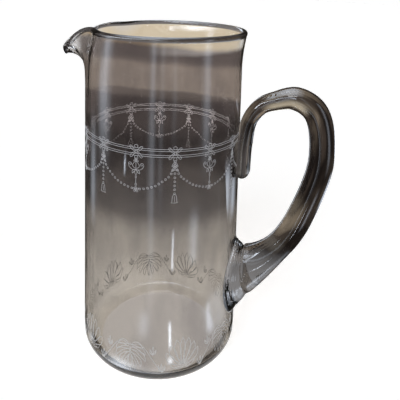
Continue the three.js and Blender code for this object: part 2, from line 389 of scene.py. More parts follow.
class JUG_OT_blow_body(bpy.types.Operator):
    """Blow the body: base, wall and rim in one turned profile, with the spout drawn out of the rim"""
    bl_idname = "jug.blow_body"
    bl_label = "Blow the Body"

    def execute(self, context):
        s = context.scene.jug_body
        profile, outer, bead = body_profile(s)
        turn = np.linspace(0, FULL_TURN, BODY_SIDES, endpoint=False)
        reach, level = profile[:, :1], profile[:, 1:]
        turned = np.stack(np.broadcast_arrays(reach * np.cos(turn), reach * np.sin(turn), level), -1)
        rings = draw_spout(s, turned.reshape(-1, 3)).reshape(turned.shape)
        # The skin's parts say whether a point is outside, on the bead and on the base
        skin, drawn = np.zeros(rings.shape), np.zeros(rings.shape)
        skin[:outer + bead // 2, :, 0] = 1
        skin[outer:outer + bead, :, 1] = 1
        skin[:BASE_RINGS, :, 2] = 1
        drawn[..., 0] = np.linalg.norm(rings - turned, axis=-1) / s.spout_length
        middle = np.zeros(3)
        marks = {"skin": with_ends(skin, (1, 0, 1), middle), "drawn": with_ends(drawn, middle, middle)}
        piece = skinned("blown_body", rings, middle, (0, 0, s.floor), marks, body_glass(context.scene))
        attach(piece, "root")
        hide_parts("jug_body")
        return {"FINISHED"}


# Handle

HANDLE_SIDES = 56
HANDLE_STEPS = 720
PAD_RINGS = 10
CURVE_STEPS = 200
CURVE_NUDGE = 1e-4
SMALL = 1e-9
SEAL_REACH = 1.7 * MM
SHARP_ANGLE = math.radians(50)
STATIONS = ("tail_end", "tail", "bend", "rise", "arch", "crown", "shoulder", "side", "elbow", "run", "root",
            "root_inside")


def smooth_line(points):
    """A centripetal curve through points, as a function of its parameter from 0 to 1."""
    points = np.asarray(points, float)
    last = len(points) - 1
    padded = np.vstack([2 * points[0] - points[1], points, 2 * points[-1] - points[-2]])

    def at(t):
        place = np.clip(t * last, 0, last)
        i = np.minimum(place.astype(int), last - 1)
        step = (place - i)[:, None]
        a, b, c, d = [padded[i + k] for k in range(4)]
        before, here, after = [np.maximum(SMALL, np.linalg.norm(q - p, axis=1)[:, None]) ** 0.5
                               for p, q in ((a, b), (b, c), (c, d))]
        leave = ((b - a) / before - (c - a) / (before + here) + (c - b) / here) * here
        reach = ((c - b) / here - (d - b) / (here + after) + (d - c) / after) * here
        return (b + leave * step + (-3 * b + 3 * c - 2 * leave - reach) * step ** 2
                + (2 * b - 2 * c + leave + reach) * step ** 3)
    return at


def smoothstep(x, low, high):
    """0 below low, 1 above high, and an eased step between."""
    t = np.clip((x - low) / (high - low), 0, 1)
    return t * t * (3 - 2 * t)


def unit(vectors):
    """The vectors, each with a length of 1."""
    return vectors / np.linalg.norm(vectors, axis=1)[:, None]


def even_steps(line):
    """Parameters of equal steps along a line, without its start, and how far along each of them is."""
    fine = np.linspace(0, 1, CURVE_STEPS * len(STATIONS))
    run = np.concatenate([[0], np.cumsum(np.linalg.norm(np.diff(line(fine), axis=0), axis=1))])
    along = np.arange(1, HANDLE_STEPS + 1) / HANDLE_STEPS * run[-1]
    return np.interp(along, run, fine), along


def rod_sizes(h, sizes, place):
    """The rod's thickness and width, with crease and folds; towards the root they grow late, in a flare."""
    i = np.minimum(place.astype(int), len(sizes) - 2)
    step = place - i
    step = np.where(i + 1 == STATIONS.index("root"), step ** 2, step)[:, None]
    to_root = place - STATIONS.index("run")
    crease = h.crease * np.exp(-((to_root - h.crease_place) / h.crease_width) ** 2)
    folds = h.fold * np.sin(FULL_TURN * (to_root - h.fold_start) / h.fold_step)
    folds *= smoothstep(to_root, h.fold_start, 1)
    return (sizes[i] + (sizes[i + 1] - sizes[i]) * step) * (1 - crease + folds)[:, None]


def pressed(s, points, gap):
    """Points of the rod, with those inside the wall moved out on to its surface."""
    radius = np.hypot(points[..., 0], points[..., 1])
    wall = outer_radius(s, points[..., 2]) + gap
    scale = np.maximum(1, wall / np.maximum(radius, SMALL))
    return points * np.stack([scale, scale, np.ones_like(scale)], -1)


def root_pad(s, h, edge):
    """Rings on the wall that close the root inside its edge, and the point in their middle."""
    edge = np.stack([np.arctan2(edge[:, 1], edge[:, 0]), edge[:, 2]], -1)
    heart = edge.mean(axis=0)
    rings = []
    for k in range(1, PAD_RINGS):
        bearing, z = (heart + (edge - heart) * (1 - k / PAD_RINGS)).T
        radius = outer_radius(s, z) + h.seal_gap
        rings.append(np.stack([radius * np.cos(bearing), radius * np.sin(bearing), z], -1))
    return np.array(rings), (outer_radius(s, heart[1]) + h.seal_gap, 0, heart[1])


def handle_rings(s, h):
    """Rings of the rod from the tail's tip to the root, with the root pad's, and the point at either end."""
    places = np.array([getattr(h, name) for name in STATIONS])
    line = smooth_line([(outer_radius(s, z) + out, 0, z) for z, out, _, _ in places])
    t, along = even_steps(line)
    middle = line(t)
    tangent = unit(line(np.minimum(t + CURVE_NUDGE, 1)) - line(np.maximum(t - CURVE_NUDGE, 0)))
    place = t * (len(STATIONS) - 1)
    size = rod_sizes(h, places[:, 2:], place)
    near_root = smoothstep(place - STATIONS.index("run"), 0, 1)[:, None]
    rounding = np.sqrt(1 - np.maximum(0, 1 - along / h.tail_tip) ** 2) / 2
    across = np.stack([-tangent[:, 2], 0 * t, tangent[:, 0]], -1)
    across = unit(across + (np.array([0, 0, -1]) - across) * near_root)
    turn = np.linspace(0, FULL_TURN, HANDLE_SIDES, endpoint=False)[None, :, None]
    up = (across * (size[:, 0] * rounding)[:, None])[:, None, :]
    side = np.stack([0 * t, size[:, 1] * rounding, 0 * t], -1)[:, None, :]
    rings = middle[:, None, :] + up * np.cos(turn) + side * np.sin(turn)
    radius = outer_radius(s, middle[:, 2])[:, None]
    bulge = radius - np.sqrt(radius ** 2 - rings[..., 1] ** 2)
    lean = (middle[:, 2:] - rings[..., 2]) * math.tan(s.taper)
    rings[..., 0] -= near_root * (bulge - lean)
    reach = np.hypot(rings[..., 0], rings[..., 1]) - outer_radius(s, rings[..., 2]) - h.seal_gap
    sunk = np.nonzero((reach < 0).all(axis=1))[0][0]
    rings = pressed(s, rings[:sunk + 1], h.seal_gap)
    pad, end = root_pad(s, h, rings[-1])
    return np.concatenate([rings, pad]), middle[0], end


class JUG_OT_draw_handle(bpy.types.Operator):
    """Draw the handle: a solid rod, thin at its pressed tail, swelling to the root pad"""
    bl_idname = "jug.draw_handle"
    bl_label = "Draw the Handle"

    def execute(self, context):
        s = context.scene.jug_body
        rings, tip, end = handle_rings(s, context.scene.jug_handle)
        turn = np.linspace(0, FULL_TURN, HANDLE_SIDES, endpoint=False)
        rows = np.arange(len(rings))[:, None] / HANDLE_STEPS
        rod = np.stack(np.broadcast_arrays(np.cos(turn), np.sin(turn), rows), -1)
        place = with_ends(rings, tip, end)
        off = np.hypot(place[:, 0], place[:, 1]) - outer_radius(s, place[:, 2])
        seal = np.stack([np.exp(-(off / SEAL_REACH) ** 2), 0 * off, 0 * off], -1)
        marks = {"rod": with_ends(rod, (0, 0, 0), (0, 0, rows[-1, 0])), "seal": seal}
        piece = skinned("drawn_handle", rings, tip, end, marks, handle_glass(context.scene))
        piece.data.set_sharp_from_angle(angle=SHARP_ANGLE)
        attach(piece, "root")
        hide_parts("handle")
        return {"FINISHED"}


# Node trees

class Nodes:
    """A node tree that is written one node at a time."""

    def __init__(self, tree):
        self.tree = tree

    def put(self, kind, wires=None, out=0, **settings):
        """A node with its inputs wired or set, and one of its outputs where it has any."""
        node = self.tree.nodes.new(kind)
        for key, value in settings.items():
            setattr(node, key, value)
        for key, value in (wires or {}).items():
            if isinstance(value, bpy.types.NodeSocket):
                self.tree.links.new(value, node.inputs[key])
            else:
                node.inputs[key].default_value = value
        return node.outputs[out] if len(node.outputs) else None

    def sum(self, kind, a, b=0.0):
        """A Math node."""
        return self.put("ShaderNodeMath", {0: a, 1: b}, operation=kind)

    def split(self, vector):
        """The three parts of a vector."""
        return self.put("ShaderNodeSeparateXYZ", {0: vector}).node.outputs


class Laying(Nodes):
    """A Geometry Nodes tree with named inputs."""

    def __init__(self, name, inputs):
        super().__init__(bpy.data.node_groups.new(name, "GeometryNodeTree"))
        for label, kind in (("Geometry", "Geometry"), *inputs):
            self.tree.interface.new_socket(label, in_out="INPUT", socket_type="NodeSocket" + kind)
        self.tree.interface.new_socket("Geometry", in_out="OUTPUT", socket_type="NodeSocketGeometry")
        self.given = self.tree.nodes.new("NodeGroupInput").outputs

    def end(self, socket):
        """The finished tree, with that socket as its result."""
        self.put("NodeGroupOutput", {0: socket})
        return self.tree


class Shading(Nodes):
    """The nodes of a material or a world."""

    def __init__(self, owner):
        owner.use_nodes = True
        super().__init__(owner.node_tree)
        self.tree.nodes.clear()
        self.owner = owner

    def place(self, kind="Object"):
        """Coordinates of one kind."""
        return self.put("ShaderNodeTexCoord", out=kind)

    def mark(self, label, kind="Vector"):
        """What the mesh's points carry under a label."""
        return self.put("ShaderNodeAttribute", out=kind, attribute_name=label)

    def noise(self, recipe, place=None):
        """Noise by a recipe, on the object's own coordinates where no others are given."""
        stretch, scale, detail, roughness = recipe
        if place is None:
            place = self.place()
        stretched = self.put("ShaderNodeMapping", {"Vector": place, "Scale": stretch})
        sizes = {"Scale": scale, "Detail": detail, "Roughness": roughness}
        return self.put("ShaderNodeTexNoise", {"Vector": stretched, **sizes}, "Fac")

    def ramp(self, value, stops):
        """A colour ramp through places and colours."""
        result = self.put("ShaderNodeValToRGB", {"Fac": value})
        ramp = result.node.color_ramp
        ramp.interpolation = "EASE"
        while len(ramp.elements) < len(stops):
            ramp.elements.new(0.5)
        for element, (place, colour) in zip(ramp.elements, stops):
            element.position = place
            element.color = colour
        return result

    def ranged(self, value, low, high, start=0.0, stop=1.0):
        """A value carried from one range to another, and held at its ends."""
        ends = {"From Min": low, "From Max": high, "To Min": start, "To Max": stop}
        return self.put("ShaderNodeMapRange", {"Value": value, **ends}, "Result")

    def mixed(self, factor, first, second, blend="MIX"):
        """A mix of two colours, each of them a socket or a fixed colour."""
        wires = {"Factor": factor, "A": first, "B": second}
        return self.put("ShaderNodeMix", wires, "Result", data_type="RGBA", blend_type=blend)

    def vector(self, kind, wires, out=0):
        """A Vector Math node."""
        return self.put("ShaderNodeVectorMath", wires, out, operation=kind)

    def rays(self, *labels):
        """1 for rays of any of these kinds."""
        path = self.put("ShaderNodeLightPath").node.outputs
        total = path[labels[0]]
        for label in labels[1:]:
            total = self.sum("MAXIMUM", total, path[label])
        return total

    def chosen(self, factor, first, second):
        """A mix of two shaders."""
        return self.put("ShaderNodeMixShader", {0: factor, 1: first, 2: second})


# Etched ornament, drawn flat in millimetres: u to the right round the wall, v up along it

STROKE_STEPS = 7
LEAF_STEPS = 9
VOLUTE_STEPS = 22
VOLUTE_WIND = 0.8


def stroke(points, closed=False):
    """A smooth line through points in the flat drawing."""
    points = np.asarray(points, float)
    if closed:
        points = np.vstack([points[-1:], points, points[:2]])
    else:
        points = np.vstack([2 * points[0] - points[1], points, 2 * points[-1] - points[-2]])
    t = np.linspace(0, 1, STROKE_STEPS, endpoint=False)[:, None]
    runs = []
    for a, b, c, d in zip(points, points[1:], points[2:], points[3:]):
        square = a - 2.5 * b + 2 * c - d / 2
        cube = 1.5 * (b - c) + (d - a) / 2
        runs.append(b + (c - a) * t / 2 + square * t ** 2 + cube * t ** 3)
    line = np.concatenate(runs)
    return (line, True) if closed else (np.vstack([line, points[-2]]), False)


def mirrored(strokes):
    """The strokes and their mirror images."""
    return strokes + [(line * (-1, 1), closed) for line, closed in strokes]


def moved(strokes, up):
    """The strokes, shifted up in the flat drawing."""
    return [(line + (0, up), closed) for line, closed in strokes]


def leaf(root, tip, width, bend=0.0, swell=0.8):
    """An outlined leaf from its root to its tip, bent to the left of its direction by a share of its length.

    It is widest near its root where swell is below 1, and near its tip where swell is above 1."""
    root, tip = np.asarray(root, float), np.asarray(tip, float)
    way = tip - root
    left = np.array([-way[1], way[0]])
    t = np.linspace(0, 1, LEAF_STEPS)[:, None]
    spine = root + way * t + left * bend * 4 * t * (1 - t)
    half = left / np.linalg.norm(way) * width / 2 * np.sin(math.pi * t ** swell)
    return (np.vstack([spine + half, (spine - half)[-2:0:-1]]), True)


def ring(u, v, radius, sides=14):
    """A small circle."""
    turn = np.linspace(0, FULL_TURN, sides, endpoint=False)
    return (np.stack([u + radius * np.cos(turn), v + radius * np.sin(turn)], -1), True)


def volute(u, v, radius, start, turns):
    """A curl that winds in towards its middle."""
    t = np.linspace(0, 1, VOLUTE_STEPS)
    bearing = math.radians(start) + FULL_TURN * turns * t
    reach = radius * (1 - VOLUTE_WIND * t)
    return (np.stack([u + reach * np.cos(bearing), v + reach * np.sin(bearing)], -1), False)


def flat_curves(name, strokes):
    """A curve object in the flat drawing, in metres."""
    data = bpy.data.curves.new(name, "CURVE")
    data.dimensions = "3D"
    for line, closed in strokes:
        spline = data.splines.new("POLY")
        spline.points.add(len(line) - 1)
        flat = np.zeros((len(line), 4))
        flat[:, :2] = np.asarray(line) * MM
        flat[:, 3] = 1
        spline.points.foreach_set("co", flat.ravel())
        spline.use_cyclic_u = closed
    return placed(name, data)


LINE_SIDES = 6
LINK_SIDES = 12
LINE_STEP = 0.6 * MM


def circle(t, sides, width):
    """A circle of a width, inside a tree."""
    radius = t.sum("DIVIDE", width, 2.0)
    return t.put("GeometryNodeCurvePrimitiveCircle", {"Resolution": sides, "Radius": radius})


def line_tree(strung):
    """A tree that gives drawn lines their width and relief, or strings small rings along them."""
    names = ("Line Width", "Relief", "Step", "Bead") if strung else ("Line Width", "Relief", "Step")
    t = Laying("etched rings" if strung else "etched lines", [(name, "Float") for name in names])
    width = t.given["Line Width"]
    steps = {"Curve": t.given["Geometry"], "Length": t.given["Step"]}
    path = t.put("GeometryNodeResampleCurve", steps, mode="LENGTH")
    cut = circle(t, LINE_SIDES, width)
    if strung:
        loop = circle(t, LINK_SIDES, t.sum("SUBTRACT", t.given["Bead"], width))
        link = t.put("GeometryNodeCurveToMesh", {"Curve": loop, "Profile Curve": cut})
        chain = t.put("GeometryNodeInstanceOnPoints", {"Points": path, "Instance": link})
        solid = t.put("GeometryNodeRealizeInstances", {0: chain})
    else:
        solid = t.put("GeometryNodeCurveToMesh", {"Curve": path, "Profile Curve": cut, "Fill Caps": True})
    flat = t.put("ShaderNodeCombineXYZ", {0: 1.0, 1: 1.0, 2: t.sum("DIVIDE", t.given["Relief"], width)})
    return t.end(t.put("GeometryNodeTransform", {"Geometry": solid, "Scale": flat}))


def wrap_tree():
    """A tree that lays a flat drawing on the outer wall and repeats it round the axis."""
    names = ("Heel Centre", "Heel Rounding", "Taper", "Arc Radius", "First Place", "Drift")
    t = Laying("lay on the wall and repeat", [
        *[(name, "Float") for name in names], ("Repeats", "Int"), ("Material", "Material")])
    place = t.put("GeometryNodeInputPosition")
    u, v, n = t.split(place)
    heel, taper = t.given["Heel Rounding"], t.given["Taper"]
    bearing = t.sum("DIVIDE", u, t.given["Arc Radius"])
    corner = t.sum("MULTIPLY", heel, t.sum("ADD", taper, math.pi / 2))
    above = t.sum("MAXIMUM", t.sum("SUBTRACT", v, corner))
    below = t.sum("MAXIMUM", t.sum("SUBTRACT", corner, v))
    lean = t.sum("SUBTRACT", taper, t.sum("DIVIDE", below, heel))
    reach = t.sum("ADD", heel, n)
    radius = t.sum("ADD", t.given["Heel Centre"], t.sum("MULTIPLY", reach, t.sum("COSINE", lean)))
    radius = t.sum("SUBTRACT", radius, t.sum("MULTIPLY", above, t.sum("SINE", taper)))
    height = t.sum("ADD", heel, t.sum("MULTIPLY", reach, t.sum("SINE", lean)))
    height = t.sum("ADD", height, t.sum("MULTIPLY", above, t.sum("COSINE", taper)))
    laid = t.put("ShaderNodeCombineXYZ", {
        0: t.sum("MULTIPLY", radius, t.sum("COSINE", bearing)),
        1: t.sum("MULTIPLY", radius, t.sum("SINE", bearing)), 2: height})
    wrapped = t.put("GeometryNodeSetPosition", {"Geometry": t.given["Geometry"], "Position": laid})
    seats = t.put("GeometryNodeMeshLine", {"Count": t.given["Repeats"], "Offset": (0, 0, 0)})
    step = t.sum("DIVIDE", FULL_TURN, t.given["Repeats"])
    spin = t.sum("ADD", t.given["First Place"], t.sum("MULTIPLY", t.put("GeometryNodeInputIndex"), step))
    turn = t.put("ShaderNodeCombineXYZ", {2: spin})
    copies = t.put("GeometryNodeInstanceOnPoints", {"Points": seats, "Instance": wrapped, "Rotation": turn})
    real = t.put("GeometryNodeRealizeInstances", {0: copies})
    behind = t.sum("DIVIDE", t.sum("ADD", t.sum("SINE", t.sum("ARCTAN2", v, u)), 1.0), 2.0)
    slip = t.sum("MULTIPLY", behind, t.given["Drift"])
    slipped = t.put("ShaderNodeVectorRotate", {"Vector": place, "Angle": slip}, rotation_type="Z_AXIS")
    cut = t.put("GeometryNodeSetPosition", {"Geometry": real, "Position": slipped})
    return t.end(t.put("GeometryNodeSetMaterial", {"Geometry": cut, "Material": t.given["Material"]}))


def give(item, tree, values):
    """Puts a tree on an object, with the tree's inputs set by their labels."""
    modifier = item.modifiers.new(tree.name, "NODES")
    modifier.node_group = tree
    for socket in tree.interface.items_tree:
        if socket.in_out == "INPUT" and socket.name in values:
            modifier[socket.identifier] = values[socket.name]


def etched(context, name, parts, arc_radius, line, frost):
    """One etched piece: drawings of lines and strings of rings, each laid on the wall and repeated.

    A part is a drawing, whether it is a string of rings, its repeats and the place of its first copy."""
    body, etch = context.scene.jug_body, context.scene.jug_etching
    sizes = {
        "Line Width": line, "Relief": etch.relief, "Bead": etch.bead, "Drift": etch.drift, "Material": frost,
        "Heel Centre": body.heel_radius - body.heel_round, "Heel Rounding": body.heel_round,
        "Taper": body.taper, "Arc Radius": arc_radius}
    work = bmesh.new()
    for strokes, strung, repeats, place in parts:
        drawing = flat_curves(f"{name}_drawing", strokes)
        give(drawing, line_tree(strung), {**sizes, "Step": etch.bead_step if strung else LINE_STEP})
        give(drawing, wrap_tree(), {**sizes, "Repeats": repeats, "First Place": place})
        result = drawing.evaluated_get(context.evaluated_depsgraph_get())
        mesh = bpy.data.meshes.new_from_object(result)
        drawing.modifiers.clear()
        bpy.data.objects.remove(drawing)
        work.from_mesh(mesh)
        bpy.data.meshes.remove(mesh)
    piece = finished(name, bpy.data.meshes.new(name), work, frost)
    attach(piece, "root")


# Where the drawings are true to size round the wall: below the frieze's top, and above the base
FRIEZE_MIDDLE = 9 * MM
BORDER_MIDDLE = 26 * MM
# The rail's lines, as shares of its height below its upper edge
RAIL_LINES = (0, 0.24, 0.75, 1)
RAIL_STEPS = 40


def frieze_radius(scene):
    """Radius of the wall at the frieze's middle, which lies below its top."""
    top = scene.jug_etching.frieze_top * math.cos(scene.jug_body.taper)
    return cone_radius(scene.jug_body, top - FRIEZE_MIDDLE)


def frieze_pitch(scene):
    """From one pendant to the next in the flat drawing."""
    return FULL_TURN * frieze_radius(scene) / MM / scene.jug_etching.frieze_repeats


def etch_frieze(context, name, line, *parts):
    """One piece of the frieze, its heights counted from the frieze's top.

    A part is a drawing, whether it is a string of rings, and the place of its first copy."""
    etch, f = context.scene.jug_etching, context.scene.jug_finishes
    laid = [(moved(strokes, etch.frieze_top / MM), strung, etch.frieze_repeats, place)
            for strokes, strung, place in parts]
    frost = frosted(f, "frieze_frost", f.frost, f.frost_back_painted_light, f.frost_glow, f.frost_back_glow)
    etched(context, name, laid, frieze_radius(context.scene), line, frost)
    return {"FINISHED"}


def bow(height):
    """A ribbon bow round a rail of that height, its middle at the origin: a knot, loops and short ends."""
    up = height / 2
    upper = [(0.3, 0.3), (1.3, up * 0.7), (2.5, up + 0.7), (3.5, up + 0.9), (3.4, up - 0.1), (1.8, 0.6)]
    lower = [
        (0.3, -0.3), (1.2, -up * 0.7), (2.2, -up - 0.8), (3.2, -up - 1.1), (3.2, -up + 0.1), (1.7, -0.6)]
    ends = [
        stroke([(0.5, up + 0.1), (1.1, up + 0.9), (0.5, up + 1.5), (0, up + 1.6)]),
        stroke([(0.4, -up), (1.0, -up - 1.2), (0.5, -up - 2.0)]),
    ]
    return mirrored([stroke(upper, True), stroke(lower, True), *ends]) + [ring(0, 0, 0.75)]


class JUG_OT_etch_rail(bpy.types.Operator):
    """Etch the ribbon rail: a bundle of fine lines round the jug"""
    bl_idname = "jug.etch_rail"
    bl_label = "Etch the Rail"

    def execute(self, context):
        etch = context.scene.jug_etching
        turn = np.linspace(0, frieze_pitch(context.scene), RAIL_STEPS)
        height = etch.rail_height / MM
        lines = [(np.stack([turn, 0 * turn - height * down], -1), False) for down in RAIL_LINES]
        return etch_frieze(context, "etched_rail", etch.rail_line, (lines, False, etch.pendant_place))


class JUG_OT_etch_bows(bpy.types.Operator):
    """Etch the ribbon bows that hold the pendants and the tassels to the rail"""
    bl_idname = "jug.etch_bows"
    bl_label = "Etch the Bows"

    def execute(self, context):
        etch = context.scene.jug_etching
        drawing = moved(bow(etch.rail_height / MM), -etch.rail_height / 2 / MM)
        return etch_frieze(
            context, "etched_bows", etch.frieze_line,
            (drawing, False, etch.pendant_place), (drawing, False, etch.tassel_place))


class JUG_OT_etch_pendants(bpy.types.Operator):
    """Etch the flower pendants: a stem, two pairs of scrolls, a drooping bell flower and its drop"""
    bl_idname = "jug.etch_pendants"
    bl_label = "Etch the Pendants"

    def execute(self, context):
        etch = context.scene.jug_etching
        arms = [
            stroke([(0, -12.0), (1.8, -12.3), (3.5, -11.2), (4.3, -9.6), (3.8, -8.5)]),
            volute(3.2, -9.3, 1.0, 40, 1.2),
            stroke([(0, -7.2), (0.9, -8.2), (1.9, -9.8), (1.3, -11.0), (0.3, -11.4)]),
            leaf((0.2, -12.2), (2.1, -14.6), 1.1, 0.12),
            leaf((0.2, -6.4), (1.4, -7.8), 0.6),
        ]
        drawing = mirrored(arms) + [
            stroke([(0, -5.2), (0, -12.0)]),
            ring(0, -6.2, 0.45),
            leaf((0, -12.0), (0, -15.4), 1.4),
            leaf((0, -15.5), (0, -17.2), 0.8),
            stroke([(0, -17.2), (0, -20.0)]),
        ]
        return etch_frieze(
            context, "etched_pendants", etch.frieze_line, (drawing, False, etch.pendant_place))


ROSETTE_LEVEL = -23.4
ROSETTE_RADIUS = 1.15
ROSETTE_SIDES = 10
PETALS = 5


class JUG_OT_etch_swags(bpy.types.Operator):
    """Etch the bead-chain swags that hang from tassel to tassel, each with a rosette at its lowest point"""
    bl_idname = "jug.etch_swags"
    bl_label = "Etch the Swags"

    def execute(self, context):
        etch = context.scene.jug_etching
        half = frieze_pitch(context.scene) / 2
        side = [(half - 0.7, -9.2), (half - 2.4, -14.0), (half - 7.0, -18.1), (half - 12.0, -21.2)]
        chain = stroke([*side, (0, -23.2), *[(-u, v) for u, v in reversed(side)]])
        rosette = [ring(0, ROSETTE_LEVEL, 0.5, ROSETTE_SIDES), ring(0, -20.6, 0.6, ROSETTE_SIDES)]
        for k in range(PETALS):
            bearing = FULL_TURN * k / PETALS + math.pi / 2
            u, v = ROSETTE_RADIUS * math.cos(bearing), ROSETTE_LEVEL + ROSETTE_RADIUS * math.sin(bearing)
            rosette.append(ring(u, v, 0.55, ROSETTE_SIDES))
        return etch_frieze(
            context, "etched_swags", etch.frieze_line,
            ([chain], True, etch.pendant_place), (rosette, False, etch.pendant_place))


class JUG_OT_etch_tassels(bpy.types.Operator):
    """Etch the tassels: a string of beads under each second bow, with a bell at its end"""
    bl_idname = "jug.etch_tassels"
    bl_label = "Etch the Tassels"

    def execute(self, context):
        etch = context.scene.jug_etching
        string = [(np.array([(0, -6.4), (0, -24.8)]), False)]
        bell = mirrored([
            stroke([(0, -25.2), (0.9, -25.9), (1.2, -27.2), (1.3, -28.6), (1.4, -29.9)]),
            leaf((0.3, -6.6), (1.9, -9.4), 0.8, -0.1),
            leaf((0.3, -8.8), (2.1, -12.2), 0.8, -0.1),
        ]) + [stroke([(-2.0, -30.1), (0, -30.3), (2.0, -30.1)]), stroke([(0, -26.5), (0, -29.6)])]
        return etch_frieze(
            context, "etched_tassels", etch.frieze_line,
            (string, True, etch.tassel_place), (bell, False, etch.tassel_place))


class JUG_OT_etch_palmettes(bpy.types.Operator):
    """Etch the heel's border: drooping palmettes under arches, upright palmettes between, and leaf tufts"""
    bl_idname = "jug.etch_palmettes"
    bl_label = "Etch the Palmettes"

    def execute(self, context):
        etch, f = context.scene.jug_etching, context.scene.jug_finishes
        arch = [(20.5, 25.5), (15.5, 33.5), (11.0, 41.5), (7.6, 46.0), (4.6, 47.9), (2.2, 47.0), (1.2, 45.0)]
        drooping = mirrored([
            stroke(arch),
            leaf((0.8, 44.6), (8.6, 43.2), 2.6, 0.20, 1.5),
            leaf((0.7, 43.2), (10.4, 38.4), 2.8, 0.20, 1.5),
            leaf((0.7, 41.4), (10.2, 33.0), 2.8, 0.18, 1.5),
            leaf((0.5, 39.4), (7.0, 28.4), 2.6, 0.14, 1.5),
            leaf((0.4, 37.4), (3.2, 25.6), 2.0, 0.08, 1.5),
            leaf((20.6, 25.2), (18.6, 31.0), 0.9, 0.1),
            leaf((20.8, 25.2), (20.4, 32.2), 1.0),
            leaf((21.0, 25.2), (22.6, 30.6), 0.9, -0.1),
            leaf((14.6, 39.0), (13.2, 43.4), 1.0, 0.1),
            leaf((14.8, 39.0), (15.0, 46.0), 1.1),
            leaf((15.0, 39.0), (16.8, 43.2), 1.0, -0.1),
        ]) + [leaf((0, 43.6), (0, 24.4), 1.8, 0.0, 1.4), ring(0, 45.2, 0.8)]
        upright = mirrored([
            leaf((0.8, 29.0), (11.0, 40.6), 4.4, -0.12, 1.5),
            leaf((0.6, 29.6), (8.0, 46.4), 4.6, -0.08, 1.5),
            leaf((0.4, 30.0), (4.0, 50.2), 4.4, -0.04, 1.5),
            leaf((1.2, 28.0), (8.4, 31.8), 2.4, -0.16, 1.3),
            stroke([(0, 27.4), (2.4, 26.4), (4.6, 27.2), (5.2, 28.8)]),
        ]) + [leaf((0, 30.0), (0, 51.6), 3.6, 0.0, 1.5), ring(0, 28.4, 0.8)]
        parts = [(drooping, False, etch.base_repeats, etch.drooping_place),
                 (upright, False, etch.base_repeats, etch.upright_place)]
        frost = frosted(f, "heel_frost", f.heel_frost, f.heel_back_painted_shade, f.heel_glow, f.heel_back_glow)
        radius = cone_radius(context.scene.jug_body, BORDER_MIDDLE)
        etched(context, "etched_palmettes", parts, radius, etch.base_line, frost)
        return {"FINISHED"}


# Materials

WHITE = (1, 1, 1, 1)
GLASS_IOR = 1.5
# Noise: its stretch along three axes, scale, detail and roughness
CLOUDS = ((1, 1, 1), 22, 3, 0.55)
SMUDGES = ((1, 1, 0.5), 60, 4, 0.6)
STRIAE = ((1, 1, 0.16), 55, 2, 0.5)
DRAPES = ((1, 1, 0.3), 34, 3, 0.5)
ROD_STREAKS = ((1, 1, 2), 1.9, 3, 0.5)
FROST_GRAIN = ((1, 1, 1), 900, 3, 0.6)
PAPER_GRAIN = ((1, 1, 1), 40, 2, 0.5)
# What these noises do: how far they go, and the ranges of noise over which they set in
CLOUD_DRIFT = 0.014
SMUDGE_EDGE = (0.52, 0.75)
SMUDGE_ROUGHNESS = 0.03
RIPPLE_HEIGHT = 4 * MM
DRAPE_EDGE = (0.46, 0.68)
ROD_STREAK_EDGE = (0.49, 0.69)
GRAIN_EDGE = (0.3, 0.7)
GRAIN_SHADE = 0.8
# Strength of the depth's tint and of the ripples, on the body and on the handle
BODY_DEPTH, BODY_RIPPLE = 42, 0.08
HANDLE_DEPTH, HANDLE_RIPPLE = 26, 0.04
# Levels, as shares of the jug's height: the tints of painted shading, and where rim, lip and root take their
# own
PAINTED_SHADING_LEVELS = (
    (0.31, "foot_tint"), (0.50, "waist_tint"), (0.585, "haze_tint"), (0.64, "haze_tint"),
    (0.69, "smoke_tint"), (0.765, "smoke_tint"), (0.82, "shoulder_tint"))
RIM_EDGE = (0.958, 0.972)
LIP_EDGE = (0.961, 0.971)
ROOT_EDGE = (0.31, 0.42)
# The lip's painted light starts over these stretches along X and along Y
LIP_ALONG_X = (4 * MM, 26 * MM)
LIP_ALONG_Y = (2 * MM, -2 * MM)
# The beak's paler painted shading starts where the wall is drawn out this far, as shares of the spout's
# length
BEAK_EDGE = (0.06, 0.22)
# Levels of the leaning tints, and how strong the paler band of painted light is there
PALE_BAND = ((0.829, 0), (0.836, 1), (0.905, 1), (0.925, 0))
# Places along the handle, as shares of its length, and how strong the painted light on its inner side is
# there
INNER_LIGHT_STRETCHES = (
    (0.21, 0), (0.25, 1), (0.32, 1), (0.37, 0), (0.60, 0), (0.66, 0.5), (0.75, 0.5), (0.82, 0))
# The handle's inner side starts here, as a cosine round the rod
INNER_EDGE = (0.1, -0.5)
# A line's front starts here, as a cosine from the outward direction
FRONT_EDGE = (-0.3, 0.1)
FROST_ROUGHNESS = 0.65


def paint(colour):
    """A colour as a socket takes it."""
    return (*colour, 1)


def painted_outside(colour):
    """A colour for the outside alone: squared, because the shader takes the root of it at each surface."""
    return paint([c * c for c in colour])


def grey(shade):
    """A grey as a socket takes it."""
    return paint([shade] * 3)


def greys(stops):
    """A ramp's stops for plain shares."""
    return [(place, grey(shade)) for place, shade in stops]


def height_share(t, height):
    """How far up the jug a point is, from 0 to 1, with a little cloudy drift."""
    _, _, z = t.split(t.place())
    drift = t.ranged(t.noise(CLOUDS), 0, 1, -CLOUD_DRIFT, CLOUD_DRIFT)
    return t.sum("ADD", t.ranged(z, 0, height), drift)


